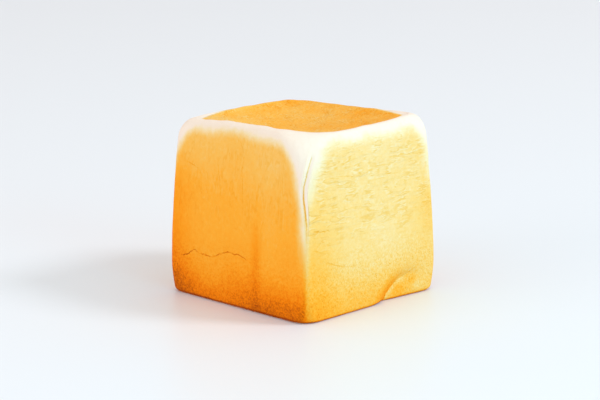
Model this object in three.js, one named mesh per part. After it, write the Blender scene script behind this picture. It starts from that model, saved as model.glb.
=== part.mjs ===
// A loaf of white bread baked in a square tin with its lid on.
//
// It is one solid: a soft cube that filled the tin, then shrank a little as it cooled. The walls
// are flat where the dough lay against the tin and draw in towards the top, the upright edges are
// tight below and open out into large round corners above, the shoulder never quite reached the
// lid, and the middle of the top crust has sunk inside a firm rim. One wall has a dent at its
// foot, and a fold runs down one upright edge.
//
// Millimetres, +Z up. The origin is on the floor, under the middle of the tin's square.
// The walls are named for where they face: east +X, west -X, north +Y, south -Y.

import * as THREE from 'three';
import { mergeGeometries, mergeVertices } from 'three/addons/utils/BufferGeometryUtils.js';

// ---- Driving dimensions ----

const TIN_SIDE = 118;              // inside of the square tin, which the loaf fills at its belly
const HEIGHT = 109.4;              // sole to rim, before the rim's own rise and fall
const BELLY_HEIGHT = 16.4;         // the walls stand upright below this and draw in above it
const SOLE_EDGE_RADIUS = 2.5;      // round edge between the sole and the walls

const DRAW_IN = { east: 3.2, west: 2.4, south: 4.8, north: 5.8 };  // of each wall, at the rim
const DRAW_IN_POWER = 1.5;

// Radius of the upright edges: a tight middle, with larger ends at the foot and at the rim.
const EDGE_RADIUS = { southEast: 3.5, northEast: 5, northWest: 5, southWest: 5 };
const FOOT_RADIUS = { southEast: 12, northEast: 10, northWest: 10, southWest: 10 };
const FOOT_RADIUS_REACH = 20;      // height above the floor at which the foot's share has gone
const RIM_RADIUS = { southEast: 28, northEast: 9, northWest: 14, southWest: 8 };
const RIM_RADIUS_START = 0.4;      // share of the height at which the rim's share begins
const RIM_RADIUS_POWER = 4;

// The shoulder: a quarter of a superellipse from the wall up to the rim.
const SHOULDER_HEIGHT = 14;
const SHOULDER_INSET = 6.3;
const SHOULDER_POWER = 2.4;

// The rim's rise or fall at each corner, and how far each side crowns between its corners.
const CORNER_LIFT = { southEast: 0.8, northEast: 2, northWest: -1.3, southWest: -1.9 };
const SIDE_CROWN = { east: -0.8, west: 1.7, south: 2.6, north: -0.2 };
const LIFT_START = 0.4;            // share of the height at which the rim's lift begins

// The sunken top crust: square level lines at the rim and round ones in the middle.
const DISH_DEPTH = 9;
const DISH_POWER = 2.2;

// The dent at the foot of the east wall: inside a superellipse on that wall the crust bends in to
// a crease and comes back a little. It is gone where it would run into the north-east corner.
const DENT = { centreY: 36, centreZ: -2, reachY: 38.5, reachZ: 26 };
const DENT_POWER = 1.7;
const DENT_DEPTH = 3.6;
const DENT_CREASE = 0.38;          // share of the way in at which it is deepest
const DENT_RISE = 1.6;             // how much of the depth comes back further in
const DENT_RISE_END = 0.65;
const DENT_FADE_FROM = 22;
const DENT_FADE_TO = 50;

// The fold down the south-east edge: a groove that starts in the round corner, crosses the edge
// and ends above the middle of the loaf. Its course is measured across the edge, to the north.
const FOLD_DEPTH = 1;
const FOLD_HALF_WIDTH = 2.2;
const FOLD_TOP = 101;
const FOLD_BOTTOM = 40;
const FOLD_BEND_HEIGHT = 75;       // where it lies furthest to the south
const FOLD_COURSE = { bend: -1.6, top: 3.8, bottom: 0.4 };

// The net: squares across the tin, and rows from the sole's edge to the rim.
const SQUARES = 32;
const SOLE_EDGE_ROWS = 4;
const WALL_ROWS = 16;
const SHOULDER_ROWS = 8;
const ROWS = SOLE_EDGE_ROWS + WALL_ROWS + SHOULDER_ROWS;
const EDGE_CROWDING = 0.4;         // 0 for even squares, more to crowd them towards the edges
const WALL_ROW_POWER = 1.3;        // over 1 crowds the wall's rows towards the foot

const CRUST = { color: 0xf0b062, roughness: 0.85, metalness: 0 };

// ---- Small helpers ----

const HALF_SIDE = TIN_SIDE / 2;

const clamp = (value) => Math.min(Math.max(value, 0), 1);

const smoothstep = (from, to, value) => {
  const t = clamp((value - from) / (to - from));
  return t * t * (3 - 2 * t);
};

// The value that a table keeps for the quarter of the loaf that (a, b) lies in.
const ofCorner = (table, a, b) => {
  if (a > 0) return b > 0 ? table.northEast : table.southEast;
  return b > 0 ? table.northWest : table.southWest;
};

// The net's even steps from -1 to 1, moved so that they lie closer together near both ends.
const crowd = (t) => (1 - EDGE_CROWDING) * t + EDGE_CROWDING * Math.sin((Math.PI * t) / 2);

// ---- The loaf's form ----

// The side view as rows: each has a height, and how far it lies inside the wall's line.
function sideProfile(row) {
  if (row <= SOLE_EDGE_ROWS) {
    const angle = (row / SOLE_EDGE_ROWS) * (Math.PI / 2);
    return {
      height: SOLE_EDGE_RADIUS * (1 - Math.cos(angle)),
      inset: SOLE_EDGE_RADIUS * (1 - Math.sin(angle)),
    };
  }
  if (row <= SOLE_EDGE_ROWS + WALL_ROWS) {
    const share = ((row - SOLE_EDGE_ROWS) / WALL_ROWS) ** WALL_ROW_POWER;
    const top = HEIGHT - SHOULDER_HEIGHT;
    return { height: SOLE_EDGE_RADIUS + share * (top - SOLE_EDGE_RADIUS), inset: 0 };
  }
  const angle = ((row - SOLE_EDGE_ROWS - WALL_ROWS) / SHOULDER_ROWS) * (Math.PI / 2);
  const cos = Math.cos(angle);
  const sin = Math.sin(angle);
  const reach = (cos ** SHOULDER_POWER + sin ** SHOULDER_POWER) ** (1 / SHOULDER_POWER);
  return {
    height: HEIGHT - SHOULDER_HEIGHT * (1 - sin / reach),
    inset: SHOULDER_INSET * (1 - cos / reach),
  };
}

// Radius of an upright edge at a height.
function edgeRadius(a, b, height) {
  const up = clamp((height / HEIGHT - RIM_RADIUS_START) / (1 - RIM_RADIUS_START));
  const down = clamp(1 - height / FOOT_RADIUS_REACH);
  const middle = ofCorner(EDGE_RADIUS, a, b);
  const rim = (ofCorner(RIM_RADIUS, a, b) - middle) * up ** RIM_RADIUS_POWER;
  const foot = (ofCorner(FOOT_RADIUS, a, b) - middle) * down ** 2;
  return middle + rim + foot;
}

// The plan at one height: the point (a, b) of a square's outline, moved on to a rectangle with
// round corners.
function planPoint(a, b, height, inset) {
  const up = clamp((height - BELLY_HEIGHT) / (HEIGHT - BELLY_HEIGHT)) ** DRAW_IN_POWER;
  const halfX = HALF_SIDE - inset - up * (a > 0 ? DRAW_IN.east : DRAW_IN.west);
  const halfY = HALF_SIDE - inset - up * (b > 0 ? DRAW_IN.north : DRAW_IN.south);
  const radius = edgeRadius(a, b, height);
  const x = a * halfX;
  const y = b * halfY;
  const centreX = Math.sign(x) * Math.min(Math.abs(x), halfX - radius);
  const centreY = Math.sign(y) * Math.min(Math.abs(y), halfY - radius);
  const arm = Math.hypot(x - centreX, y - centreY);
  return new THREE.Vector2(x - centreX, y - centreY)
    .multiplyScalar(radius / arm)
    .add(new THREE.Vector2(centreX, centreY));
}

// How far the rim's unevenness lifts the point (a, b).
function rimLift(a, b) {
  const corners =
    (CORNER_LIFT.southEast * (1 + a) * (1 - b) + CORNER_LIFT.northEast * (1 + a) * (1 + b) +
      CORNER_LIFT.northWest * (1 - a) * (1 + b) + CORNER_LIFT.southWest * (1 - a) * (1 - b)) / 4;
  const alongX = (1 - a * a) * b * b * (b > 0 ? SIDE_CROWN.north : SIDE_CROWN.south);
  const alongY = (1 - b * b) * a * a * (a > 0 ? SIDE_CROWN.east : SIDE_CROWN.west);
  return corners + alongX + alongY;
}

// How deep the east wall is dented at (y, z).
function dentDepth(y, z) {
  const along = Math.abs(y - DENT.centreY) / DENT.reachY;
  const upwards = Math.abs(z - DENT.centreZ) / DENT.reachZ;
  const inside = 1 - (along ** DENT_POWER + upwards ** DENT_POWER) ** (1 / DENT_POWER);
  const drop = DENT_DEPTH * clamp(inside / DENT_CREASE) ** 2;
  const rise = DENT_RISE * clamp((inside - DENT_CREASE) / (DENT_RISE_END - DENT_CREASE));
  return (drop - rise) * smoothstep(DENT_FADE_TO, DENT_FADE_FROM, y);
}

// How deep the fold is at a height, this far across the south-east edge.
function foldDepth(across, z) {
  const above = clamp((z - FOLD_BEND_HEIGHT) / (FOLD_TOP - FOLD_BEND_HEIGHT)) ** 1.5;
  const below = smoothstep(0, 15, FOLD_BEND_HEIGHT - z);
  const course = FOLD_COURSE.bend + (FOLD_COURSE.top - FOLD_COURSE.bend) * above +
    (FOLD_COURSE.bottom - FOLD_COURSE.bend) * below;
  const ends = smoothstep(FOLD_BOTTOM, FOLD_BOTTOM + 15, z) * smoothstep(FOLD_TOP, FOLD_TOP - 6, z);
  return FOLD_DEPTH * ends * Math.exp(-(((across - course) / FOLD_HALF_WIDTH) ** 2));
}

function wallPoint(a, b, row) {
  const { height, inset } = sideProfile(row);
  const { x, y } = planPoint(a, b, height, inset);
  const lift = rimLift(a, b) * clamp((height / HEIGHT - LIFT_START) / (1 - LIFT_START)) ** 2;
  const dent = x > 0 ? dentDepth(y, height) : 0;
  const fold = x > 0 && y < 0 ? foldDepth((x + y) / Math.SQRT2, height) / Math.SQRT2 : 0;
  return [x - dent - fold, y + fold, height + lift];
}

// The top crust, stretched between the rim's four sides and sunk in the middle.
function topPoint(a, b) {
  const rim = (a, b) => planPoint(a, b, HEIGHT, SHOULDER_INSET);
  const blend = (from, to, t) => from.clone().lerp(to, (1 + t) / 2);
  const acrossX = blend(rim(-1, b), rim(1, b), a);
  const acrossY = blend(rim(a, -1), rim(a, 1), b);
  const corners = blend(blend(rim(-1, -1), rim(1, -1), a), blend(rim(-1, 1), rim(1, 1), a), b);
  const { x, y } = acrossX.add(acrossY).sub(corners);
  const sunk = DISH_DEPTH * (1 - Math.abs(a) ** DISH_POWER) * (1 - Math.abs(b) ** DISH_POWER);
  return [x, y, HEIGHT + rimLift(a, b) - sunk];
}

// ---- The solid ----

// Walls, shoulder and top: a netted box without its floor, with each point moved to its place.
function crust() {
  const geometry = new THREE.BoxGeometry(2, 2, 2, SQUARES, SQUARES, ROWS);
  const floor = geometry.groups[5];
  geometry.setIndex([...geometry.index.array.slice(0, floor.start)]);
  const place = geometry.attributes.position;
  for (let i = 0; i < place.count; i++) {
    const a = crowd(place.getX(i));
    const b = crowd(place.getY(i));
    const row = Math.round(((place.getZ(i) + 1) / 2) * ROWS);
    const onWall = Math.max(Math.abs(place.getX(i)), Math.abs(place.getY(i))) > 1 - 1e-6;
    place.setXYZ(i, ...(onWall ? wallPoint(a, b, row) : topPoint(a, b)));
  }
  return geometry;
}

// The flat sole: a disc whose outline is moved on to the walls' lowest row, facing the floor.
function sole() {
  const steps = 4 * SQUARES;
  const geometry = new THREE.CircleGeometry(1, steps);
  const place = geometry.attributes.position;
  for (let i = 1; i < place.count; i++) {
    const step = steps - ((i - 1) % steps);
    const side = Math.floor(step / SQUARES) % 4;
    const t = crowd((2 * (step % SQUARES)) / SQUARES - 1);
    const [a, b] = [[t, -1], [1, t], [-t, 1], [-1, -t]][side];
    place.setXYZ(i, ...wallPoint(a, b, 0));
  }
  return geometry;
}

function onlyPositions(geometry) {
  geometry.deleteAttribute('normal');
  geometry.deleteAttribute('uv');
  geometry.clearGroups();
  return geometry;
}

const loafGeometry = mergeVertices(mergeGeometries([crust(), sole()].map(onlyPositions)));
loafGeometry.computeVertexNormals();

const loaf = new THREE.Mesh(loafGeometry, new THREE.MeshStandardMaterial(CRUST));
loaf.name = 'loaf';

const tinLoaf = new THREE.Group();
tinLoaf.name = 'tin_loaf';
tinLoaf.add(loaf);

export default tinLoaf;
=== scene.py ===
import math

import bpy
import numpy as np
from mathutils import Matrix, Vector


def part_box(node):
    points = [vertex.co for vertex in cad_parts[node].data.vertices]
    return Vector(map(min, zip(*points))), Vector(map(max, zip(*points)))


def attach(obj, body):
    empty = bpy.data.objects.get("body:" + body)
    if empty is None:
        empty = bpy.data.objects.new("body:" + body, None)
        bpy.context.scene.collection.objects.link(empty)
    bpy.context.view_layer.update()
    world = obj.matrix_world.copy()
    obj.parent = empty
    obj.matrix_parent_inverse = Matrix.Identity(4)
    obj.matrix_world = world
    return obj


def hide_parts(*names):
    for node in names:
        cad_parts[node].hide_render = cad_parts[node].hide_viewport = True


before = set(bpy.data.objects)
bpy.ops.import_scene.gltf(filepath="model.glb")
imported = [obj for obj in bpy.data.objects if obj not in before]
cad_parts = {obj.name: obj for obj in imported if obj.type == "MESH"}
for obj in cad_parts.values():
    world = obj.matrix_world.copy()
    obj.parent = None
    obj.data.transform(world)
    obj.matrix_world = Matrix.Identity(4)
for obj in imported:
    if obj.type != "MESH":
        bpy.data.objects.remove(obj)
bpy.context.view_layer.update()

MM = 0.001

# ---- The loaf: its net ---------------------------------------------------------------------------
# A whole loaf of white bread, baked in a square tin with its lid on. The crust is one closed skin,
# worked out on a net: rings of points up the walls, and a square grid each for the top and the sole.

SQUARES = 120            # across each side
SOLE_EDGE_ROWS = 12
WALL_ROWS = 96
SHOULDER_ROWS = 32
EDGE_CROWDING = 0.6      # 0 for even squares, more to crowd them towards the upright edges


def crowd(t):
    """Even steps from -1 to 1, drawn towards both ends: (1 - c) t + c sin(pi t / 2)."""
    return (1 - EDGE_CROWDING) * t + EDGE_CROWDING * np.sin(np.pi * t / 2)


def smooth(start, end, value):
    """0 at start, 1 at end, and 3t^2 - 2t^3 of the share t between them."""
    t = np.clip((value - start) / (end - start), 0, 1)
    return t * t * (3 - 2 * t)


def bell(distance, width):
    """exp of minus the square of distance over width."""
    return np.exp(-((distance / width) ** 2))


steps = crowd(np.linspace(-1, 1, SQUARES + 1))
one = np.ones(SQUARES)
ring_a = np.concatenate([steps[:-1], one, -steps[:-1], -one])
ring_b = np.concatenate([-one, steps[:-1], one, -steps[:-1]])
inner_a, inner_b = np.meshgrid(steps[1:-1], steps[1:-1])


def net_quads(rows):
    """The numbers of the points of each face: the walls as a band of rings, then the top and the sole
    as grids. A grid's outline is the last or the first ring. Its inner points come after all rings."""
    ring = 4 * SQUARES
    band = np.arange(rows * ring).reshape(rows, ring)
    ahead = np.roll(band, -1, axis=1)
    faces = [np.stack([band[:-1], ahead[:-1], ahead[1:], band[1:]], axis=-1)]
    inside = np.arange((SQUARES - 1) ** 2).reshape(SQUARES - 1, SQUARES - 1)
    for outline, first, turn in ((band[-1], band.size, 1), (band[0], band.size + inside.size, -1)):
        grid = np.zeros((SQUARES + 1, SQUARES + 1), int)
        south, east, north, west = outline.reshape(4, SQUARES)
        grid[0, :-1], grid[:-1, -1], grid[-1, :0:-1], grid[:0:-1, 0] = south, east, north, west
        grid[1:-1, 1:-1] = first + inside
        corners = [grid[:-1, :-1], grid[:-1, 1:], grid[1:, 1:], grid[1:, :-1]]
        faces.append(np.stack(corners, axis=-1)[..., ::turn])
    return np.concatenate([part.reshape(-1, 4) for part in faces])


# ---- The loaf: its form --------------------------------------------------------------------------
# The walls are flat where the dough lay against the tin, and draw in towards the top. The upright
# edges are tight below and open into large round corners above. The shoulder never reached the lid,
# and the middle of the top has sunk inside a firm rim as the loaf cooled.

low, high = (np.array(corner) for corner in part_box("loaf"))
HALF_SIDE = (high[0] - low[0]) / 2
BELLY_HEIGHT = 16.4 * MM
SOLE_EDGE_RADIUS = 2.5 * MM
DRAW_IN = {"east": 3.2 * MM, "west": 2.4 * MM, "south": 4.8 * MM, "north": 5.8 * MM}
DRAW_IN_POWER = 1.5
EDGE_RADIUS = {"south_east": 3.5 * MM, "north_east": 5 * MM, "north_west": 5 * MM, "south_west": 5 * MM}
FOOT_RADIUS = {"south_east": 12 * MM, "north_east": 10 * MM, "north_west": 10 * MM, "south_west": 10 * MM}
FOOT_RADIUS_REACH = 20 * MM
FOOT_RADIUS_POWER = 2
RIM_RADIUS = {"south_east": 28 * MM, "north_east": 9 * MM, "north_west": 14 * MM, "south_west": 8 * MM}
RIM_RADIUS_START = 0.4   # share of the height
RIM_RADIUS_POWER = 4
SHOULDER_HEIGHT = 14 * MM
SHOULDER_INSET = 6.3 * MM
SHOULDER_POWER = 2.4
CORNER_LIFT = {"south_east": 0.8 * MM, "north_east": 2.0 * MM, "north_west": -1.3 * MM,
               "south_west": -1.9 * MM}
CORNER_SIDES = {"south_east": (1, -1), "north_east": (1, 1), "north_west": (-1, 1), "south_west": (-1, -1)}
SIDE_CROWN = {"east": -0.8 * MM, "west": 1.7 * MM, "south": 2.6 * MM, "north": -0.2 * MM}
LIFT_START = 0.4         # share of the height
LIFT_POWER = 2
DISH_DEPTH = 9 * MM
DISH_POWER = 2.2


def of_corner(table, a, b):
    """The table's value for the quarter of the loaf that each (a, b) lies in."""
    east = np.where(b > 0, table["north_east"], table["south_east"])
    west = np.where(b > 0, table["north_west"], table["south_west"])
    return np.where(a > 0, east, west)


def rim_lift(a, b):
    """How far the rim rises at (a, b): the four corners' lifts blended by a and b, and on each side a
    parabola between its corners."""
    lift = (1 - a**2) * b**2 * np.where(b > 0, SIDE_CROWN["north"], SIDE_CROWN["south"])
    lift += (1 - b**2) * a**2 * np.where(a > 0, SIDE_CROWN["east"], SIDE_CROWN["west"])
    for corner, (i, j) in CORNER_SIDES.items():
        lift += CORNER_LIFT[corner] * (1 + i * a) * (1 + j * b) / 4
    return lift


HEIGHT = high[2] - rim_lift(ring_a, ring_b).max()


def side_rows():
    """Height and inset of each ring: a quarter circle round the sole's edge, the upright wall, and a
    quarter of the superellipse x^p + y^p = 1 over the shoulder."""
    angle = np.linspace(0, np.pi / 2, SOLE_EDGE_ROWS + 1)
    sole = SOLE_EDGE_RADIUS * np.array([1 - np.cos(angle), 1 - np.sin(angle)])
    wall = np.linspace(SOLE_EDGE_RADIUS, HEIGHT - SHOULDER_HEIGHT, WALL_ROWS + 1)[1:]
    angle = np.linspace(0, np.pi / 2, SHOULDER_ROWS + 1)[1:]
    reach = (np.cos(angle) ** SHOULDER_POWER + np.sin(angle) ** SHOULDER_POWER) ** (1 / SHOULDER_POWER)
    return (np.concatenate([sole[0], wall, HEIGHT - SHOULDER_HEIGHT * (1 - np.sin(angle) / reach)]),
            np.concatenate([sole[1], 0 * wall, SHOULDER_INSET * (1 - np.cos(angle) / reach)]))


def plan(a, b, height, inset):
    """The point (a, b) of a square moved on to a rectangle with round corners: where it lies outside the
    rectangle that holds the corners' centres, it is pulled in to the radius from that rectangle. The
    third result is the distance from the farther of the two walls that meet at the nearest corner."""
    up = np.clip((height - BELLY_HEIGHT) / (HEIGHT - BELLY_HEIGHT), 0, 1) ** DRAW_IN_POWER
    half_x = HALF_SIDE - inset - up * np.where(a > 0, DRAW_IN["east"], DRAW_IN["west"])
    half_y = HALF_SIDE - inset - up * np.where(b > 0, DRAW_IN["north"], DRAW_IN["south"])
    # The corners' radius grows from the edge's to the rim's above, and to the foot's below.
    rim = np.clip((height / HEIGHT - RIM_RADIUS_START) / (1 - RIM_RADIUS_START), 0, 1) ** RIM_RADIUS_POWER
    foot = np.clip(1 - height / FOOT_RADIUS_REACH, 0, 1) ** FOOT_RADIUS_POWER
    edge, at_rim, at_foot = (of_corner(table, a, b) for table in (EDGE_RADIUS, RIM_RADIUS, FOOT_RADIUS))
    radius = edge + rim * (at_rim - edge) + foot * (at_foot - edge)
    x, y = a * half_x, b * half_y
    centre_x = np.sign(x) * np.minimum(abs(x), half_x - radius)
    centre_y = np.sign(y) * np.minimum(abs(y), half_y - radius)
    arm = np.hypot(x - centre_x, y - centre_y)
    x = centre_x + (x - centre_x) / arm * radius
    y = centre_y + (y - centre_y) / arm * radius
    return x, y, np.maximum(half_x - abs(x), half_y - abs(y))


# The dent: the foot of the east wall was pressed in while the loaf was warm.
DENT_CENTRE = (36 * MM, -2 * MM)       # y and z
DENT_REACH = (38.5 * MM, 26 * MM)
DENT_POWER = 1.7
DENT_DEPTH = 3.6 * MM
DENT_CREASE = 0.38                     # share of the way in where it is deepest
DENT_RISE = 1.6 * MM                   # how much of the depth comes back further in
DENT_RISE_END = 0.65
DENT_FADE = (50 * MM, 22 * MM)         # y where it is gone, and y where it is full


def dent_inside(y, z):
    """Share of the way from the dent's outline, a superellipse, to its centre."""
    along, upwards = abs(y - DENT_CENTRE[0]) / DENT_REACH[0], abs(z - DENT_CENTRE[1]) / DENT_REACH[1]
    return 1 - (along**DENT_POWER + upwards**DENT_POWER) ** (1 / DENT_POWER)


def dent_depth(y, z):
    """Inside the outline the wall bends in along a parabola to a crease, and rises a little again further
    in. The whole fades before the north-east corner."""
    inside = dent_inside(y, z)
    drop = DENT_DEPTH * np.clip(inside / DENT_CREASE, 0, 1) ** 2
    rise = DENT_RISE * np.clip((inside - DENT_CREASE) / (DENT_RISE_END - DENT_CREASE), 0, 1)
    return (drop - rise) * smooth(*DENT_FADE, y)


# The fold: the skin down the south-east edge creased as it shrank. Its course is given as heights, and
# places across the edge that grow to the north, in mm.
FOLD_COURSE = ((40, 0.4), (60, 0.2), (67, -0.6), (75, -1.6), (82, -1.3), (88.5, 0.5), (93, 1.6), (101, 4.2))
FOLD_ENDS = (42 * MM, 72 * MM, 96 * MM, 102 * MM)
FOLD_DIP = (0.7 * MM, 1.7 * MM)        # depth and half width
FOLD_LIP = (0.35 * MM, 2.2 * MM)       # height of the lips, and how far out they stand


def fold_offset(x, y, z):
    """Distance from the fold's course across the south-east edge."""
    heights, places = np.array(FOLD_COURSE).T * MM
    return (x + y) / math.sqrt(2) - np.interp(z, heights, places)


def fold_share(x, y, z):
    """1 along the fold, and 0 past its ends and round the other edges."""
    start, full, fading, end = FOLD_ENDS
    return smooth(start, full, z) * smooth(end, fading, z) * (x > 0) * (y < 0)


def fold_depth(x, y, z):
    """A bell-shaped dip between two bell-shaped lips, each half as wide as it stands out."""
    offset = fold_offset(x, y, z)
    dip = FOLD_DIP[0] * bell(offset, FOLD_DIP[1])
    lips = FOLD_LIP[0] * bell(abs(offset) - FOLD_LIP[1], FOLD_LIP[1] / 2)
    return fold_share(x, y, z) * (dip - lips)


def stretched_over(ring):
    """A skin stretched between the four sides of a ring: across x, plus across y, less the corners'
    own blend. The result is its inner points as a grid."""
    south, east, north, west = ring.reshape(4, SQUARES, 3)
    south, east = np.vstack([south, east[:1]]), np.vstack([east, north[:1]])
    north, west = np.vstack([north, west[:1]])[::-1], np.vstack([west, south[:1]])[::-1]
    u, v = (steps[None, :, None] + 1) / 2, (steps[:, None, None] + 1) / 2
    across_x = (1 - u) * west[:, None] + u * east[:, None]
    across_y = (1 - v) * south[None] + v * north[None]
    corners = (1 - v) * ((1 - u) * south[0] + u * south[-1]) + v * ((1 - u) * north[0] + u * north[-1])
    return (across_x + across_y - corners)[1:-1, 1:-1]


row_height, row_inset = (row[:, None] for row in side_rows())
x, y, edge_distance = plan(ring_a, ring_b, row_height, row_inset)
lift_share = np.clip((row_height / HEIGHT - LIFT_START) / (1 - LIFT_START), 0, 1) ** LIFT_POWER
fold = fold_depth(x, y, row_height) / math.sqrt(2)
dent = dent_depth(y, row_height) * (x > 0)
rings = np.stack([x - fold - dent, y + fold, row_height + rim_lift(ring_a, ring_b) * lift_share], axis=-1)
top = stretched_over(rings[-1])
sunk = (1 - abs(inner_a) ** DISH_POWER) * (1 - abs(inner_b) ** DISH_POWER)
top[..., 2] = HEIGHT + rim_lift(inner_a, inner_b) - DISH_DEPTH * sunk
sole = stretched_over(rings[0])
plain = np.concatenate([part.reshape(-1, 3) for part in (rings, top, sole)])

mesh = bpy.data.meshes.new("loaf_crust")
mesh.from_pydata(plain.tolist(), [], net_quads(len(rings)).tolist())
mesh.shade_smooth()
loaf = bpy.data.objects.new("loaf_crust", mesh)
bpy.context.collection.objects.link(loaf)

# ---- The loaf: waves and wrinkles ----------------------------------------------------------------
# A crust that has shrunk is nowhere quite flat: it has long gentle waves, and above the foot fine
# wrinkles, which run upright on the south and north walls and level on the east and west ones.

WAVES = ((0.28 * MM, 36 * MM), (0.10 * MM, 13 * MM), (0.05 * MM, 5 * MM))   # height and length
WRINKLE_HEIGHT = 0.10 * MM
WRINKLE_SIZE = (2.6 * MM, 12 * MM)     # across and along
WRINKLES_FROM = (18 * MM, 66 * MM)     # none at the first height, all at the second
TOP_WAVE = (0.30 * MM, 8 * MM)         # height and length
NOISE_TABLE = 32                       # cells along each side before the noise repeats

normals = np.empty(plain.size)
mesh.vertex_normals.foreach_get("vector", normals)
normals = normals.reshape(-1, 3)
# How much of each point faces each way: the squares of its normal, which add up to 1.
east, north, up = (np.clip(normals, 0, 1) ** 2).T
west, south, down = (np.clip(-normals, 0, 1) ** 2).T
# The same, but turning quickly from one side to the next at an edge.
SIDE_SHARPNESS = 3
sides = np.stack([east, north, up, west, south, down]) ** SIDE_SHARPNESS
facing = dict(zip(("east", "north", "top", "west", "south", "sole"), sides / sides.sum(axis=0)))


def drift(points, cell, seed):
    """Smooth random values from -1 to 1: a seeded value at each corner of a lattice of cells, blended
    between a cell's eight corners by 3t^2 - 2t^3 of the share of the way along each side."""
    table = np.random.default_rng(seed).uniform(-1, 1, (NOISE_TABLE,) * 3)
    place = points / cell
    base = np.floor(place).astype(int)
    share = smooth(0, 1, place - base)
    value = 0
    for corner in np.ndindex(2, 2, 2):
        weight = np.prod(np.where(corner, share, 1 - share), axis=1)
        i, j, k = ((base + corner) % NOISE_TABLE).T
        value = value + weight * table[i, j, k]
    return value


x, y, z = plain.T
relief = sum(height * drift(plain, length, seed) for seed, (height, length) in enumerate(WAVES))
across, along = WRINKLE_SIZE
wrinkled = WRINKLE_HEIGHT * smooth(*WRINKLES_FROM, z)
relief += wrinkled * (south + north) * drift(plain, (across, across, along), seed=11)
relief += wrinkled * (east + west) * drift(plain, (along, along, across), seed=12)
relief += TOP_WAVE[0] * up * drift(plain, TOP_WAVE[1], seed=13)
relief *= smooth(0, SOLE_EDGE_RADIUS, z)
mesh.vertices.foreach_set("co", (plain + normals * relief[:, None]).ravel())
mesh.update()

# ---- The loaf: how it baked ----------------------------------------------------------------------
# Where the dough touched the tin the crust is golden, browner towards the foot. The shoulder and the
# upper edges never touched it and stayed pale. Each point gets its depth into that pale band in mm,
# the band's strength there, and how browned it is, from 0 to 1, with painted light and shade added to
# that in some places, as marked below.

BAND_DROP = 4.2 * MM                   # from the crest down to the band's lower edge
BAND_BLEND = 3 * MM                    # rounds the band where it turns down an upright edge
# Half its width down each upright edge, at the belly. Below 0 it starts somewhere above the belly.
BAND_HALF_WIDTH = {"south_east": 4.5 * MM, "north_east": 0.5 * MM, "north_west": -2 * MM,
                   "south_west": -2 * MM}
BAND_EAST_LESS = 4.5 * MM              # how much narrower it is on the east side of the south-east edge
BAND_WIDENING = 20 * MM                # what the half width gains up to the crest
BAND_WIDENING_POWER = 4.8
BAND_WANDER = (1.3 * MM, 13 * MM)      # how far the band's edge strays, and the length of a stray
BAND_SOFTNESS = 1.7                    # how gradual its edge on a wall is, next to the one on the top
BAND_SOFTNESS_EAST = 2.1
# Painted shade along the fold: how far the band is set back there, how far north of the fold's course
# and how widely.
FOLD_SHADE = (5 * MM, 0.2 * MM, 0.6 * MM)
# Down an upright edge the band is gone at the first height and full above the second, which is higher on
# the east wall than on the others.
BAND_FADE = (24 * MM, 66 * MM)
BAND_FADE_EAST = (28 * MM, 114 * MM)
# How far past the crest the band goes, how much further along the south and the east side, and how much
# further at the north-east and the south-west corner.
CREST_REACH = (-2 * MM, 3 * MM, 22 * MM)
CREST_SIDE = (0.6, 1)                  # shares of the way out to the side
CREST_CORNER_POWER = 2.7
BAND_EDGE = (-3.0, 2.2)                # depths in mm at which the crust starts and ends turning pale
# How browned each side is. The east wall is set paler partly as a less baked crust and partly as painted
# light, for the strong light that falls on it.
SIDE_BROWNING_AND_LIGHT = {"south": 0.385, "east": 0.235, "north": 0.40, "west": 0.36, "top": 0.49, "sole": 0.78}
# How much browner a wall is at its foot: in even steps from the top down, and close to the foot.
EVEN_BROWNING = {"south": 0.32, "east": 0.11, "north": 0.20, "west": 0.15}
FOOT_BROWNING = {"south": 0.22, "east": 0.16, "north": 0.25, "west": 0.22}
FOOT_BROWNING_HEIGHT = 32 * MM
SOLE_LINE_BROWNING_AND_SHADOW = 0.4               # of the dark line round the sole's edge: partly browner crust, partly painted contact shadow
SOLE_LINE_HEIGHT = 2.4 * MM
RANDOM_PATCHES = (0.045, 24 * MM)      # browning and size
RANDOM_TOP_PATCHES = (0.07, 9 * MM)
# Places that baked more or less than the side they are on, and a few where light and shade are painted
# instead, as marked: the side, the place along it and up it (x and y on the top), the reach along it and
# up it, all in mm, and the browning.
PATCHES = (
    ("east", 17, 44, 20, 18, -0.08),
    ("east", 54, 55, 11, 16, 0.11),
    ("east", -52, 30, 22, 26, 0.15),
    ("east", -50, 4, 16, 12, 0.06),
    ("east", -24, 30, 16, 18, -0.07),
    ("east", 50, 9, 10, 12, -0.10),
    # The next four are painted light and shade on the dent's facets: a highlight beside the crease, a
    # darker floor, shade under the crease's upper end and a paler facet to the north.
    ("east", 27.5, 11.5, 3, 2, -0.16),
    ("east", 25, 5.5, 6, 5, 0.10),
    ("east", 37, 10, 2.5, 3, 0.12),
    ("east", 41, 5.5, 4.5, 3, -0.14),
    ("south", -58, 26, 16, 26, 0.12),
    ("south", -54, 60, 16, 26, 0.13),
    ("south", -20, 66, 26, 16, 0.04),
    ("south", 28, 90, 22, 16, -0.06),
    # Painted shade of a soft upright crease in the south wall.
    ("south", 17, 36, 4, 24, 0.15),
    ("south", -22, 10, 18, 16, -0.12),
    ("north", 20, 36, 24, 24, 0.07),
    ("north", -30, 70, 20, 16, -0.06),
    ("west", -20, 62, 24, 20, -0.07),
    ("west", 36, 24, 20, 16, 0.09),
    ("top", -38, -30, 26, 20, -0.12),
    ("top", 20, 44, 16, 8, 0.04),
    ("top", -46, 20, 8, 16, 0.06),
    ("top", 10, -10, 14, 20, -0.05),
)
EDGE_HIGHLIGHT = (-0.16, 1.7 * MM)        # painted highlight down the south-east edge: its browning and half width
EDGE_HIGHLIGHT_FADE = (14 * MM, 42 * MM)  # height where it is gone, and height where it is full
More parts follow.
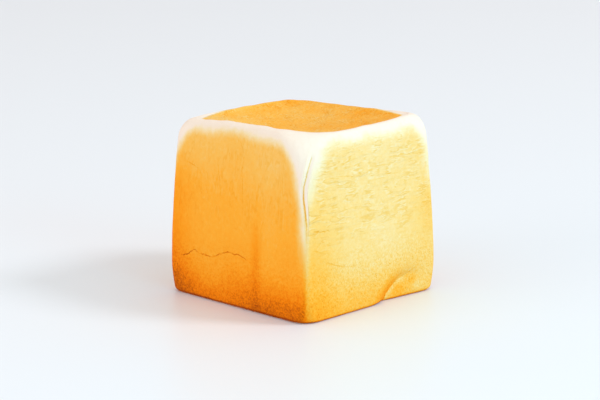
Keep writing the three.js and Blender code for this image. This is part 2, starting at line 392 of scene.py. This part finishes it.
DENT_STEEP_SHADE = 0.28                      # painted shade on the dent's steep side: browning at the crease, growing from the outline
DENT_FACET_HIGHLIGHT = (0.43, 0.05, -0.18)       # painted highlight on the facet inside the crease: share of the way in, half width and browning
DENT_SHADING_FADE = (32 * MM, 16 * MM)  # y where it is gone, and y where it is full

# On the walls the depth into the band is measured both from its lower edge and from its edges beside
# an upright edge. With b for BAND_BLEND, b log(e^(u/b) + e^(v/b)) turns one depth into the other.
wall_points = len(rings) * 4 * SQUARES
widening = np.clip((row_height - BELLY_HEIGHT) / (HEIGHT - BELLY_HEIGHT), 0, 1) ** BAND_WIDENING_POWER
half_width = of_corner(BAND_HALF_WIDTH, ring_a, ring_b) + BAND_WIDENING * widening
east_of_ring = facing["east"][:wall_points].reshape(half_width.shape)
half_width -= BAND_EAST_LESS * (1 - widening) * (ring_b < 0) * east_of_ring
into_edge = (half_width - edge_distance) / BAND_BLEND
into_shoulder = (row_height - HEIGHT + BAND_DROP) / BAND_BLEND
# On the top it is measured outwards from where the band ends inside the crest.
all_a = np.concatenate([(ring_a + 0 * row_height).ravel(), inner_a.ravel()])
all_b = np.concatenate([(ring_b + 0 * row_height).ravel(), inner_b.ravel()])
inwards = (1 - np.maximum(abs(inner_a), abs(inner_b))) * HALF_SIDE
outwards = np.concatenate([(SHOULDER_INSET - row_inset + 0 * ring_a).ravel(), -inwards.ravel()])
crest_reach = CREST_REACH[0] + CREST_REACH[1] * smooth(*CREST_SIDE, np.maximum(all_a, -all_b))
crest_reach += CREST_REACH[2] * np.clip(all_a * all_b, 0, 1) ** CREST_CORNER_POWER
band = np.full(len(plain), -BAND_DROP)
band[:all_a.size] = BAND_DROP
band[:wall_points] = (BAND_BLEND * np.logaddexp(into_edge, into_shoulder)).ravel()
band /= BAND_SOFTNESS + (BAND_SOFTNESS_EAST - BAND_SOFTNESS) * facing["east"]
band += BAND_WANDER[0] * drift(plain, BAND_WANDER[1], seed=31)
# Painted shade along the fold: the pale band is set back there.
band -= FOLD_SHADE[0] * bell(fold_offset(x, y, z) - FOLD_SHADE[1], FOLD_SHADE[2]) * fold_share(x, y, z)
band[:all_a.size] = np.minimum(band[:all_a.size], outwards + crest_reach)
band_strength = smooth(*BAND_FADE, z) * (1 - facing["east"]) + smooth(*BAND_FADE_EAST, z) * facing["east"]

browning_and_shading = sum(SIDE_BROWNING_AND_LIGHT[side] * share for side, share in facing.items())
for wall in EVEN_BROWNING:
    downwards = EVEN_BROWNING[wall] * np.clip(1 - z / HEIGHT, 0, 1)
    browning_and_shading += facing[wall] * (downwards + FOOT_BROWNING[wall] * smooth(FOOT_BROWNING_HEIGHT, 0, z))
# A dark line round the sole's edge: partly browner crust, partly painted contact shadow.
browning_and_shading += SOLE_LINE_BROWNING_AND_SHADOW * smooth(SOLE_LINE_HEIGHT, 0, z) * (1 - down)
browning_and_shading += RANDOM_PATCHES[0] * drift(plain, RANDOM_PATCHES[1], seed=21)
browning_and_shading += RANDOM_TOP_PATCHES[0] * drift(plain, RANDOM_TOP_PATCHES[1], seed=22) * up
along_and_up = {"south": (x, z), "north": (x, z), "east": (y, z), "west": (y, z), "top": (x, y)}
for side, place_along, place_up, reach_along, reach_up, amount in PATCHES:
    along, upwards = along_and_up[side]
    away = np.hypot((along / MM - place_along) / reach_along, (upwards / MM - place_up) / reach_up)
    browning_and_shading += amount * facing[side] * bell(away, 1)
# A painted highlight down the south-east edge, where the light catches it.
edge_highlight = EDGE_HIGHLIGHT[0] * bell(fold_offset(x, y, z), EDGE_HIGHLIGHT[1]) * smooth(*EDGE_HIGHLIGHT_FADE, z)
browning_and_shading += edge_highlight * (x > 0) * (y < 0) * (1 - facing["top"])
# Painted shade on the dent's steep side and a painted highlight on the facet inside its crease.
inside = dent_inside(y, z)
dent_shading = DENT_STEEP_SHADE * np.clip(inside / DENT_CREASE, 0, 1) * (inside < DENT_CREASE)
dent_shading += DENT_FACET_HIGHLIGHT[2] * bell(inside - DENT_FACET_HIGHLIGHT[0], DENT_FACET_HIGHLIGHT[1])
browning_and_shading += dent_shading * (x > 0) * smooth(*DENT_SHADING_FADE, y) * (inside > 0)

# How wrinkly, pitted and grainy each side is. A wall is smooth above the first height in COARSE_FOOT, but
# for a share of its pits and grain, and has them all below the second. The pale band has fewer wrinkles,
# and none of the top's pits and grain.
WRINKLY_SIDES = {"east": 0.85, "west": 0.6, "south": 0.5, "north": 0.5, "top": 1.1}
PITTED_SIDES = {"east": 1, "west": 0.8, "south": 0.25, "north": 0.25, "sole": 0.8, "top": 0.9}
GRAINY_SIDES = {"east": 1, "west": 0.9, "south": 0.8, "north": 0.8, "sole": 0.8, "top": 0.9}
COARSE_FOOT = (50 * MM, 20 * MM)
COARSE_ABOVE = 0.12
PALE_WRINKLES = 0.2
paled = smooth(*BAND_EDGE, band / MM) * band_strength
wrinkled = sum(share * facing[side] for side, share in WRINKLY_SIDES.items())
wrinkled *= smooth(*WRINKLES_FROM, z) * (1 - (1 - PALE_WRINKLES) * paled)
coarse = np.maximum(np.maximum(COARSE_ABOVE, smooth(*COARSE_FOOT, z)), up) * (1 - up * paled)
pitted = coarse * sum(share * facing[side] for side, share in PITTED_SIDES.items())
grainy = coarse * sum(share * facing[side] for side, share in GRAINY_SIDES.items())

# ---- The loaf: cracks and creases ----------------------------------------------------------------
# Hairline cracks and shallow creases in the skin, each with the wall it is on, how it runs, its course
# in mm and how strong it is. A course lists the place along the crack, and the place across it: a
# level one runs along x or y and an upright one along the height.

CRACKS = (
    ("south", "level", ((-46, 24.6), (-41.5, 26.1), (-38, 28.6), (-35.3, 30.4), (-31.3, 28.4),
                        (-27.7, 28.5), (-21.1, 27.7), (-17.1, 28.8), (-14.6, 30.5), (-9.7, 31.9),
                        (-6.2, 33.5), (-2, 32.8), (2.4, 33.3), (9, 31.4)), 0.9),
    ("south", "level", ((-43, 83.2), (-39, 82.4), (-35.5, 80.8)), 0.5),
    ("south", "upright", ((60, 5.6), (71, 4.9), (84, 3.6), (95, 4.9), (102, 1)), 0.3),
    ("south", "upright", ((73, -14.3), (82, -16.6)), 0.35),
    ("south", "upright", ((67, 28.1), (73.5, 28.3)), 0.3),
    ("east", "level", ((-51, 86.3), (-44, 84.8)), 0.45),
    ("east", "level", ((-30, 84.9), (-22.5, 83.8), (-18, 83), (-11, 84)), 0.35),
    ("east", "level", ((-42, 73.2), (-37, 72.5), (-31.5, 72.9)), 0.35),
    ("east", "level", ((-25.5, 63.6), (-19, 64.5), (-12, 64)), 0.3),
    ("east", "level", ((-52, 55.6), (-45, 54.3), (-37.5, 53.8)), 0.6),
    ("east", "level", ((-51.5, 44.2), (-45.5, 42)), 0.35),
    ("east", "level", ((-40.5, 34.8), (-32, 31.6), (-25.5, 29.8), (-16, 28.5)), 0.4),
    ("east", "level", ((2, 86), (14, 85.6)), 0.3),
    ("east", "level", ((33, 88.9), (45, 88.3)), 0.3),
    ("east", "level", ((12, 80), (23.5, 79)), 0.3),
    ("east", "level", ((12.6, 0), (14, 2.8), (17, 6.3), (21, 9.3), (25, 11.4), (29, 13.2), (33, 14.4),
                       (36, 16.2)), 0.4),
    ("north", "level", ((-30, 62), (-22, 64.4), (-14, 65), (0, 61), (16, 63.5), (33, 59)), 0.6),
    ("north", "upright", ((30, 40), (48, 37.5), (60, 39)), 0.35),
    ("west", "level", ((-44, 41), (-30, 44), (-22, 43), (-12, 40.5), (5, 43)), 0.6),
    ("west", "level", ((10, 88), (26, 86)), 0.35),
)
CRACK_REACH = 4 * MM                   # how far from its course a crack is looked for
CRACK_FADE = 3 * MM                    # over which it starts and ends
FOLD_CRACK = 0.8

crack_offset = fold_offset(x, y, z)
crack_share = FOLD_CRACK * fold_share(x, y, z) * (abs(crack_offset) < CRACK_REACH)
for wall, run, course, strength in CRACKS:
    along, across = np.array(course).T * MM
    level_place = x if wall in ("south", "north") else y
    place, aside = (level_place, z) if run == "level" else (z, level_place)
    offset = aside - np.interp(place, along, across)
    share = strength * smooth(along[0] - CRACK_FADE, along[0] + CRACK_FADE, place)
    share *= smooth(along[-1] + CRACK_FADE, along[-1] - CRACK_FADE, place)
    share *= (facing[wall] > 0.5) * (abs(offset) < CRACK_REACH)
    crack_offset = np.where(share > crack_share, offset, crack_offset)
    crack_share = np.maximum(share, crack_share)

baked = {"band": band / MM, "band_strength": band_strength, "browning_and_shading": browning_and_shading,
         "crack_offset": crack_offset / MM, "crack_share": crack_share,
         "level_grain": east + west, "wrinkled": wrinkled, "pitted": pitted, "grainy": grainy}
for name, values in baked.items():
    mesh.attributes.new(name, "FLOAT", "POINT").data.foreach_set("value", values.astype(np.float32))

# ---- The loaf: crust -----------------------------------------------------------------------------
# White bread crust, baked against greased steel: thin, smooth and matte, with a faint grain. It is
# golden where it browned, cream where it did not, and finely pitted towards the foot.


def linear(colour):
    """An sRGB hex colour as linear red, green, blue and alpha."""
    parts = [int(colour[i:i + 2], 16) / 255 for i in (1, 3, 5)]
    return [part / 12.92 if part <= 0.04045 else ((part + 0.055) / 1.055) ** 2.4 for part in parts] + [1]


def add_node(tree, kind, inputs=None, **settings):
    """Adds a node, sets its properties, and sets or links each input. An input may be given a value, an
    output, or a node, which stands for its first output in use."""
    node = tree.nodes.new("ShaderNode" + kind)
    for name, value in settings.items():
        setattr(node, name, value)
    for name, value in (inputs or {}).items():
        if isinstance(value, bpy.types.Node):
            value = next(output for output in value.outputs if output.enabled)
        if isinstance(value, bpy.types.NodeSocket):
            tree.links.new(value, node.inputs[name])
        else:
            node.inputs[name].default_value = value
    return node


# From dough that stayed pale to the darkest crust, by how browned it is.
BROWNED_CRUST = ((0.0, "#EFDBCA"), (0.12, "#EDD3A6"), (0.3, "#EEBF70"), (0.43, "#F0B250"),
                 (0.56, "#F4A430"), (0.69, "#F49418"), (0.82, "#EC7A00"), (1.0, "#A84800"))
CREVICE_TINT = "#D8D086"  # what the shade in a crack or a wrinkle lets through
CRUST_ROUGHNESS = 0.7
CRUST_IOR = 1.4
CRUST_SPECULAR = 0.08    # dry crust scatters most of what a smooth surface of this IOR would reflect
# The real grain and pores are about 0.5 mm wide, and the wrinkles 0.3 mm. All are drawn twice as wide so
# that they show. A noise's contrast is given as the two values that stand for its lowest and highest.
MOTTLE_SIZE = 2.4 * MM
MOTTLE_CONTRAST = (0.25, 0.75)
GRAIN_SIZE = 1.1 * MM
GRAIN_CONTRAST = (0.3, 0.7)
WRINKLE_ACROSS = 3.0 * MM
WRINKLE_ALONG = 14 * MM
WRINKLE_LINE = 0.09                    # half of a line's width, as a share of the noise's range
GROUP_SIZE = 8 * MM                    # of a group of wrinkles
GROUP_CONTRAST = (0.4, 0.6)
PIT_SPACING = 1.8 * MM
PIT_RADIUS = (0.10, 0.40)              # of the spacing: flat bottom and outer edge
CRACK_WIDTH = (0.10, 0.45)             # mm: dark middle and outer edge
CRACK_JITTER = 1.8                     # mm
CRACK_JITTER_SIZE = 1.8 * MM
BREAK_SIZE = 4 * MM                    # of a gap in a crack
BREAK_CONTRAST = (0.36, 0.5)
BREAK_LEAST = 0.35                     # what is left of a crack in a gap
BAND_JITTER = 2.0                      # mm
BAND_JITTER_SIZE = 4 * MM

crust = bpy.data.materials.new("white_bread_crust")
crust.use_nodes = True
tree = crust.node_tree
place = add_node(tree, "TexCoord").outputs["Object"]
point = {name: add_node(tree, "Attribute", attribute_name=name).outputs["Fac"] for name in baked}

# Mottle and grain: soft blotches, and a finer grain where the crust is grainy, both from -1 to 1.
mottle = add_node(tree, "TexNoise", {"Vector": place, "Scale": 1 / MOTTLE_SIZE, "Detail": 3,
                                     "Roughness": 0.6})
mottle = add_node(tree, "MapRange", {"Value": mottle, "From Min": MOTTLE_CONTRAST[0],
                                     "From Max": MOTTLE_CONTRAST[1], "To Min": -1})
grain = add_node(tree, "TexNoise", {"Vector": place, "Scale": 1 / GRAIN_SIZE, "Detail": 1})
grain = add_node(tree, "MapRange", {"Value": grain, "From Min": GRAIN_CONTRAST[0],
                                    "From Max": GRAIN_CONTRAST[1], "To Min": -1})
grain = add_node(tree, "Math", {0: grain, 1: point["grainy"]}, operation="MULTIPLY")

# Wrinkles: where a stretched noise crosses its middle value, a dark line beside a light one, in loose
# groups: painted shade and a painted highlight on the two flanks of each wrinkle, which also sinks the
# crust a little. Each is 4 s (1 - |s|) of the noise's distance s from the middle, from -1 to 1.
upright = (WRINKLE_ACROSS, WRINKLE_ACROSS, WRINKLE_ALONG)
level = (WRINKLE_ALONG, WRINKLE_ALONG, WRINKLE_ACROSS)
runs = []
for lengths in (upright, level):
    stretched = add_node(tree, "Mapping", {"Vector": place, "Scale": [1 / length for length in lengths]})
    runs.append(add_node(tree, "TexNoise", {"Vector": stretched, "Scale": 1, "Detail": 2.5,
                                            "Distortion": 0.2}))
wrinkle = add_node(tree, "Mix", {"Factor": point["level_grain"], "A": runs[0], "B": runs[1]})
from_middle = add_node(tree, "MapRange", {"Value": wrinkle, "From Min": 0.5 - WRINKLE_LINE,
                                          "From Max": 0.5 + WRINKLE_LINE, "To Min": -1})
taper = add_node(tree, "Math", {0: from_middle}, operation="ABSOLUTE")
taper = add_node(tree, "Math", {0: taper, 1: -4.0, 2: 4.0}, operation="MULTIPLY_ADD")
wrinkle_shading_and_relief = add_node(tree, "Math", {0: from_middle, 1: taper}, operation="MULTIPLY")
groups = add_node(tree, "TexNoise", {"Vector": place, "Scale": 1 / GROUP_SIZE, "Detail": 2})
groups = add_node(tree, "MapRange", {"Value": groups, "From Min": GROUP_CONTRAST[0],
                                     "From Max": GROUP_CONTRAST[1]}, interpolation_type="SMOOTHSTEP")
for share in (groups, point["wrinkled"]):
    wrinkle_shading_and_relief = add_node(tree, "Math", {0: wrinkle_shading_and_relief, 1: share}, operation="MULTIPLY")
wrinkle = add_node(tree, "Math", {0: wrinkle, 1: point["wrinkled"]}, operation="MULTIPLY")

# Pits: one to a cell, from -1 for a raised light fleck to 1 for a dark pore.
cells = add_node(tree, "TexVoronoi", {"Vector": place, "Scale": 1 / PIT_SPACING})
pits = add_node(tree, "MapRange", {"Value": cells, "From Min": PIT_RADIUS[0], "From Max": PIT_RADIUS[1],
                                   "To Min": 1, "To Max": 0}, interpolation_type="SMOOTHSTEP")
cell_value = add_node(tree, "SeparateColor", {"Color": cells.outputs["Color"]})
depth = add_node(tree, "MapRange", {"Value": cell_value, "To Min": -1})
for share in (depth, point["pitted"]):
    pits = add_node(tree, "Math", {0: pits, 1: share}, operation="MULTIPLY")

# Cracks: a broken line where the jittered distance from a crack's course is small.
jitter = add_node(tree, "TexNoise", {"Vector": place, "Scale": 1 / CRACK_JITTER_SIZE, "Detail": 3})
jitter = add_node(tree, "Math", {0: jitter, 1: CRACK_JITTER, 2: -CRACK_JITTER / 2},
                  operation="MULTIPLY_ADD")
cracks = add_node(tree, "Math", {0: point["crack_offset"], 1: jitter}, operation="ADD")
cracks = add_node(tree, "Math", {0: cracks}, operation="ABSOLUTE")
cracks = add_node(tree, "MapRange", {"Value": cracks, "From Min": CRACK_WIDTH[0],
                                     "From Max": CRACK_WIDTH[1], "To Min": 1, "To Max": 0},
                  interpolation_type="SMOOTHSTEP")
breaks = add_node(tree, "TexNoise", {"Vector": place, "Scale": 1 / BREAK_SIZE, "Detail": 1})
breaks = add_node(tree, "MapRange", {"Value": breaks, "From Min": BREAK_CONTRAST[0],
                                     "From Max": BREAK_CONTRAST[1], "To Min": BREAK_LEAST})
for share in (breaks, point["crack_share"]):
    cracks = add_node(tree, "Math", {0: cracks, 1: share}, operation="MULTIPLY")

# The pale band has a ragged soft edge. The paler the crust, the less of its browning is left.
ragged = add_node(tree, "TexNoise", {"Vector": place, "Scale": 1 / BAND_JITTER_SIZE, "Detail": 3})
ragged = add_node(tree, "Math", {0: ragged, 1: BAND_JITTER, 2: -BAND_JITTER / 2}, operation="MULTIPLY_ADD")
pale = add_node(tree, "Math", {0: point["band"], 1: ragged}, operation="ADD")
pale = add_node(tree, "MapRange", {"Value": pale, "From Min": BAND_EDGE[0], "From Max": BAND_EDGE[1]},
                interpolation_type="SMOOTHSTEP")
pale = add_node(tree, "Math", {0: pale, 1: point["band_strength"]}, operation="MULTIPLY")
browned_share = add_node(tree, "Math", {0: 1.0, 1: pale}, operation="SUBTRACT")

# Each pattern with how much it browns the crust, how much of the crevice's tint it brings, and how high
# it stands.
PATTERNS = (
    (mottle, 0.04, 0, 0.04 * MM),
    (grain, 0.07, 0.12, 0.05 * MM),
    (wrinkle, 0, 0, 0.9 * MM),
    # The wrinkles' browning and tint are painted shade and a painted highlight on their flanks.
    (wrinkle_shading_and_relief, 0.08, 0.20, -0.08 * MM),
    (pits, 0.12, 0.35, -0.14 * MM),
    (cracks, 0.25, 0.45, -0.2 * MM),
)
# How browned the crust is, with the painted light and shade added to it.
browned_and_shaded = point["browning_and_shading"]
crevices = 0.0
bumps = 0.0
for pattern, browner, tinted, higher in PATTERNS:
    browned_and_shaded = add_node(tree, "Math", {0: pattern, 1: browner, 2: browned_and_shaded}, operation="MULTIPLY_ADD")
    crevices = add_node(tree, "Math", {0: pattern, 1: tinted, 2: crevices}, operation="MULTIPLY_ADD")
    bumps = add_node(tree, "Math", {0: pattern, 1: higher, 2: bumps}, operation="MULTIPLY_ADD")
browned_and_shaded = add_node(tree, "Math", {0: browned_and_shaded, 1: browned_share}, operation="MULTIPLY")
ramp = add_node(tree, "ValToRGB", {"Fac": browned_and_shaded})
for stop, (position, colour) in enumerate(BROWNED_CRUST):
    element = ramp.color_ramp.elements[stop] if stop < 2 else ramp.color_ramp.elements.new(position)
    element.position = position
    element.color = linear(colour)
crevices = add_node(tree, "Clamp", {"Value": crevices})
colour = add_node(tree, "Mix", {"Factor": crevices, "A": ramp, "B": linear(CREVICE_TINT)}, data_type="RGBA",
                  blend_type="MULTIPLY")

shader = tree.nodes["Principled BSDF"]
bump = add_node(tree, "Bump", {"Height": bumps, "Distance": 1})
tree.links.new(colour.outputs["Result"], shader.inputs["Base Color"])
tree.links.new(bump.outputs["Normal"], shader.inputs["Normal"])
shader.inputs["Roughness"].default_value = CRUST_ROUGHNESS
shader.inputs["IOR"].default_value = CRUST_IOR
shader.inputs["Specular IOR Level"].default_value = CRUST_SPECULAR
mesh.materials.append(crust)
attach(loaf, "root")
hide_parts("loaf")

# ---- The floor -----------------------------------------------------------------------------------
# A plain white table top of plastic laminate with a satin finish.

FLOOR_SIZE = 12
FLOOR_COLOUR = "#E6E6E9"
FLOOR_ROUGHNESS = 0.4
FLOOR_SPECULAR = 0.35

bpy.ops.mesh.primitive_plane_add(size=FLOOR_SIZE)
floor = bpy.context.object
floor.name = "floor"
laminate = bpy.data.materials.new("white_laminate")
laminate.use_nodes = True
shader = laminate.node_tree.nodes["Principled BSDF"]
shader.inputs["Base Color"].default_value = linear(FLOOR_COLOUR)
shader.inputs["Roughness"].default_value = FLOOR_ROUGHNESS
shader.inputs["Specular IOR Level"].default_value = FLOOR_SPECULAR
floor.data.materials.append(laminate)

# ---- The light -----------------------------------------------------------------------------------
# A white room, a window on the right, and two low cards that throw the sky's light on the east wall and
# white light on the south one.

ROOM_BRIGHTNESS = 0.84
# Each lamp's direction from the loaf, distance and width in metres, power in watts, and colour.
LAMPS = {
    "window": ((0.80, 0.55, 0.85), 5, 1.4, 100, "#EDF8FF"),
    "right_card": ((1.0, -0.05, 0.2), 1.6, 1.2, 15, "#6CDDF4"),
    "left_card": ((-0.3, -1.0, 0.2), 1.6, 1.2, 8, "#FFFFFF"),
}

room = bpy.data.worlds.new("white_room")
room.use_nodes = True
room.node_tree.nodes["Background"].inputs["Color"].default_value = (1, 1, 1, 1)
room.node_tree.nodes["Background"].inputs["Strength"].default_value = ROOM_BRIGHTNESS
bpy.context.scene.world = room
bpy.context.scene.view_settings.view_transform = "Standard"

for name, (direction, distance, width, power, colour) in LAMPS.items():
    lamp = bpy.data.objects.new(name, bpy.data.lights.new(name, "AREA"))
    lamp.data.shape = "DISK"
    lamp.data.size = width
    lamp.data.energy = power
    lamp.data.color = linear(colour)[:3]
    lamp.location = Vector(direction).normalized() * distance
    lamp.rotation_euler = lamp.location.to_track_quat("Z", "Y").to_euler()
    bpy.context.collection.objects.link(lamp)

# ---- The camera ----------------------------------------------------------------------------------
# It looks down a little on the upright edge between the south and the east wall.

AZIMUTH = math.radians(43.7)
ELEVATION = math.radians(12.95)
DISTANCE = 1.2
IMAGE_WIDTH = 600                      # pixels
FOCAL_LENGTH = 1940                    # pixels
AIM_RIGHT = -2.9                       # pixels from the loaf's middle to the image's
AIM_UP = 3.4
MIDDLE = Vector((0, 0, 0.0547))
SENSOR_WIDTH = 36                      # millimetres

right = Vector((math.cos(AZIMUTH), math.sin(AZIMUTH), 0))
back = Vector((math.sin(AZIMUTH) * math.cos(ELEVATION), -math.cos(AZIMUTH) * math.cos(ELEVATION),
               math.sin(ELEVATION)))
camera = bpy.data.objects.new("camera", bpy.data.cameras.new("camera"))
camera.data.sensor_width = SENSOR_WIDTH
camera.data.lens = FOCAL_LENGTH / IMAGE_WIDTH * SENSOR_WIDTH
bpy.context.collection.objects.link(camera)
camera.location = MIDDLE + back * DISTANCE
aim = MIDDLE + (right * AIM_RIGHT + back.cross(right) * AIM_UP) * (DISTANCE / FOCAL_LENGTH)
camera.rotation_euler = (camera.location - aim).to_track_quat("Z", "Y").to_euler()
bpy.context.scene.camera = camera
